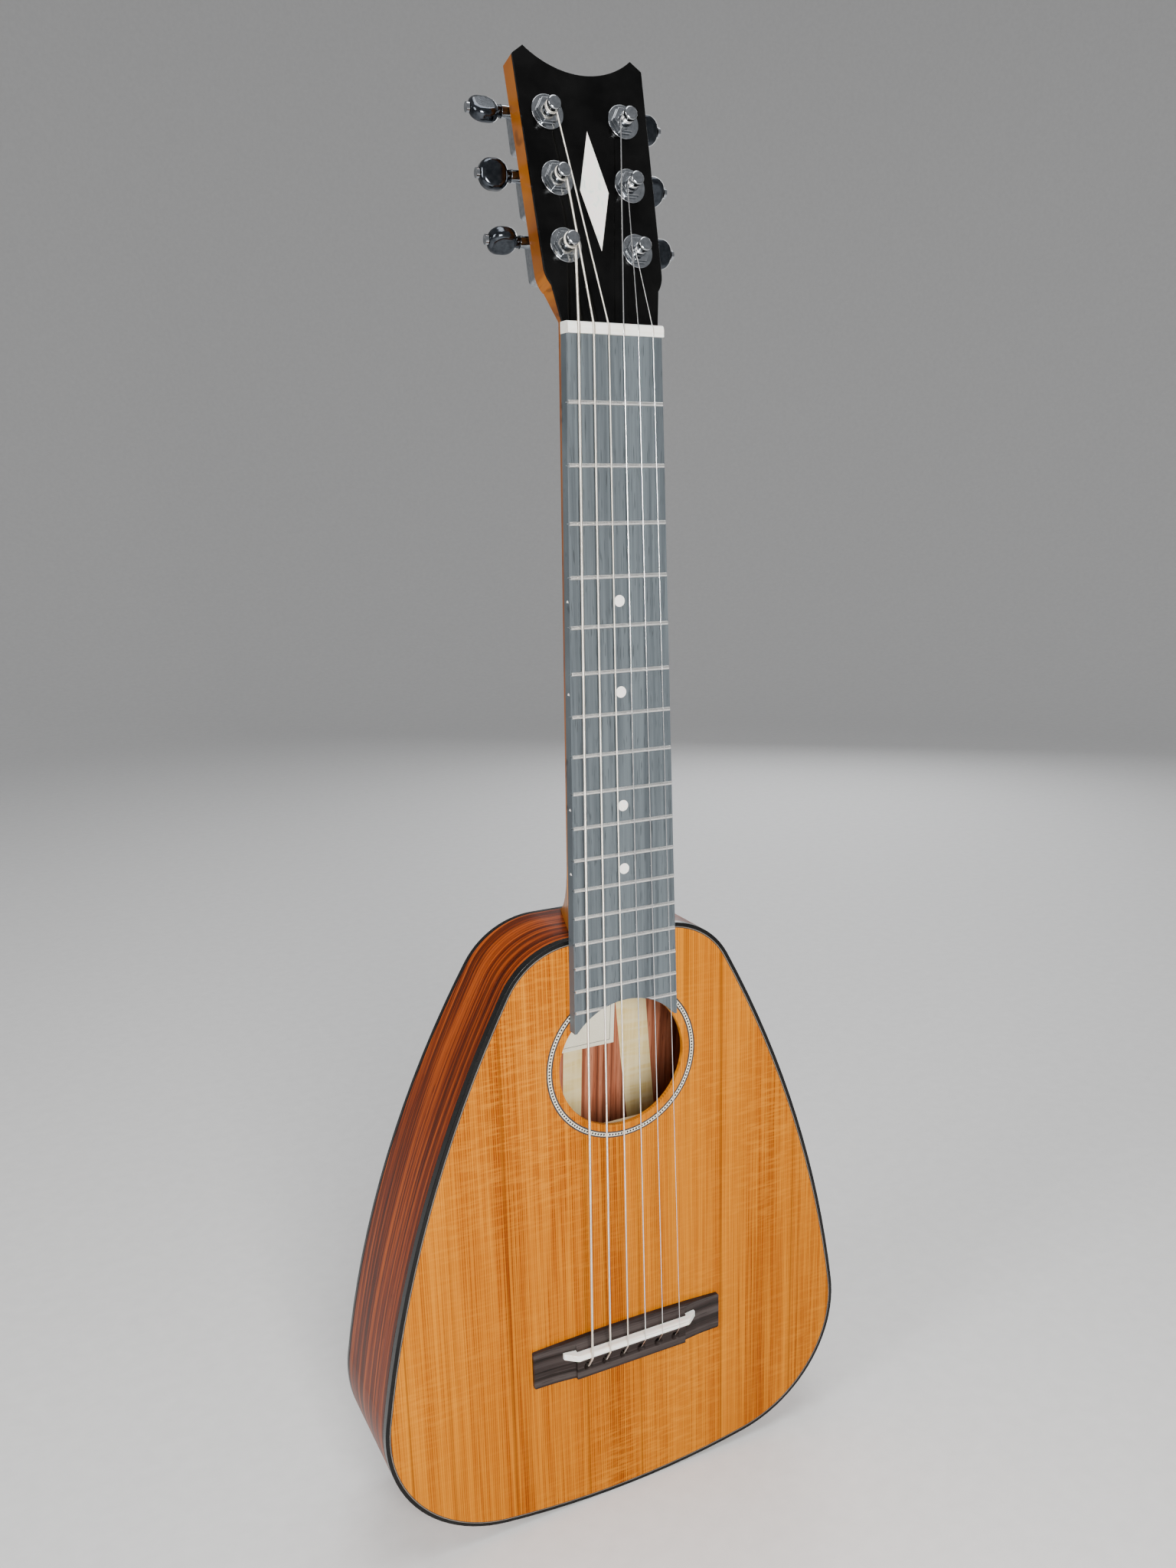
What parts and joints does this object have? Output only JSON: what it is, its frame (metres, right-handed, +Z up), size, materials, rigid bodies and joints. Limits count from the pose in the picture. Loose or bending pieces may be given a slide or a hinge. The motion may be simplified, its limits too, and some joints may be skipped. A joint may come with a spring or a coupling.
{
  "type": "travel guitar",
  "caption": "Small steel-string guitar with a teardrop body, round soundhole, dished striped back, fretted neck, tilted slab headstock and geared tuners whose buttons turn the string posts.",
  "frame": {"origin": "centre of the bounding box's bottom face, at the tail of the body", "axes": "+X to the right seen from the front, +Y from the soundboard towards the back, +Z up the neck from the tail to the headstock"},
  "size_m": [0.2776, 0.0896, 0.7344],
  "materials": {
    "cedar": "satin, fine straight grain",
    "rosewood": "gloss, dark streaks",
    "maple": "satin",
    "mahogany": "gloss",
    "spruce": "bare wood",
    "ebony": "satin",
    "binding": "gloss",
    "purfling": "gloss",
    "rosette_inlay": "gloss, with a row of small dark dots",
    "black_gloss": "black lacquer",
    "bone": "polished bone",
    "pearl": "pearly",
    "paper": "blank paper",
    "steel": "zinc plated",
    "nickel": "polished nickel silver",
    "chrome": "polished",
    "dark_chrome": "polished, dark",
    "plain_string": "drawn steel",
    "wound_string": "bronze wound"
  },
  "bodies": {
    "root": {"soundboard": "cedar", "back_staves": "rosewood", "back_stripes": "maple", "side_bass": "rosewood", "side_treble": "rosewood", "top_binding": "binding", "top_purfling": "purfling", "back_binding": "binding", "rosette": "rosette_inlay", "neck_block": "mahogany", "tail_block": "mahogany", "linings": "spruce", "top_braces": "spruce", "back_braces": "spruce", "bridge_plate": "maple", "bridge": "ebony", "saddle": "bone", "label": "paper", "neck": "mahogany", "truss_rod": "steel", "neck_bolts": "steel", "fretboard": "ebony", "frets": "nickel", "position_dots": "pearl", "nut": "bone", "headstock_veneer": "black_gloss", "headstock_inlay": "pearl", "tuner_housings": "chrome", "tuner_bushings": "chrome", "tuner_screws": "chrome", "string_1": "plain_string", "string_2": "plain_string", "string_3": "plain_string", "string_4": "wound_string", "string_5": "wound_string", "string_6": "wound_string"},
    "post_1": {"post_1": "chrome", "winding_1": "plain_string"},
    "button_1": {"worm_shaft_1": "chrome", "button_1": "dark_chrome"},
    "post_2": {"post_2": "chrome", "winding_2": "plain_string"},
    "button_2": {"worm_shaft_2": "chrome", "button_2": "dark_chrome"},
    "post_3": {"post_3": "chrome", "winding_3": "plain_string"},
    "button_3": {"worm_shaft_3": "chrome", "button_3": "dark_chrome"},
    "post_4": {"post_4": "chrome", "winding_4": "wound_string"},
    "button_4": {"worm_shaft_4": "chrome", "button_4": "dark_chrome"},
    "post_5": {"post_5": "chrome", "winding_5": "wound_string"},
    "button_5": {"worm_shaft_5": "chrome", "button_5": "dark_chrome"},
    "post_6": {"post_6": "chrome", "winding_6": "wound_string"},
    "button_6": {"worm_shaft_6": "chrome", "button_6": "dark_chrome"}
  },
  "joints": [
    {"name": "button_1_turn", "type": "hinge", "parent": "root", "child": "button_1", "pos_m": [0.0176, -0.00672, 0.65567], "axis": [1, 0, 0], "continuous": true},
    {"name": "post_1_turn", "type": "hinge", "parent": "root", "child": "post_1", "pos_m": [0.0176, -0.02722, 0.65202], "axis": [0, -0.9703, 0.2419], "continuous": true},
    {"name": "button_2_turn", "type": "hinge", "parent": "root", "child": "button_2", "pos_m": [0.0178, 0.00024, 0.68362], "axis": [1, 0, 0], "continuous": true},
    {"name": "post_2_turn", "type": "hinge", "parent": "root", "child": "post_2", "pos_m": [0.0178, -0.02025, 0.67996], "axis": [0, -0.9703, 0.2419], "continuous": true},
    {"name": "button_3_turn", "type": "hinge", "parent": "root", "child": "button_3", "pos_m": [0.0185, 0.00706, 0.71098], "axis": [1, 0, 0], "continuous": true},
    {"name": "post_3_turn", "type": "hinge", "parent": "root", "child": "post_3", "pos_m": [0.0185, -0.01343, 0.70733], "axis": [0, -0.9703, 0.2419], "continuous": true},
    {"name": "button_4_turn", "type": "hinge", "parent": "root", "child": "button_4", "pos_m": [-0.0185, 0.00706, 0.71098], "axis": [1, 0, 0], "continuous": true},
    {"name": "post_4_turn", "type": "hinge", "parent": "root", "child": "post_4", "pos_m": [-0.0185, -0.01343, 0.70733], "axis": [0, -0.9703, 0.2419], "continuous": true},
    {"name": "button_5_turn", "type": "hinge", "parent": "root", "child": "button_5", "pos_m": [-0.0178, 0.00024, 0.68362], "axis": [1, 0, 0], "continuous": true},
    {"name": "post_5_turn", "type": "hinge", "parent": "root", "child": "post_5", "pos_m": [-0.0178, -0.02025, 0.67996], "axis": [0, -0.9703, 0.2419], "continuous": true},
    {"name": "button_6_turn", "type": "hinge", "parent": "root", "child": "button_6", "pos_m": [-0.0176, -0.00672, 0.65567], "axis": [1, 0, 0], "continuous": true},
    {"name": "post_6_turn", "type": "hinge", "parent": "root", "child": "post_6", "pos_m": [-0.0176, -0.02722, 0.65202], "axis": [0, -0.9703, 0.2419], "continuous": true}
  ],
  "couplings": [
    {"joint": "post_1_turn", "follows": "button_1_turn", "ratio": 0.066667},
    {"joint": "post_2_turn", "follows": "button_2_turn", "ratio": 0.066667},
    {"joint": "post_3_turn", "follows": "button_3_turn", "ratio": 0.066667},
    {"joint": "post_4_turn", "follows": "button_4_turn", "ratio": -0.066667},
    {"joint": "post_5_turn", "follows": "button_5_turn", "ratio": -0.066667},
    {"joint": "post_6_turn", "follows": "button_6_turn", "ratio": -0.066667}
  ]
}
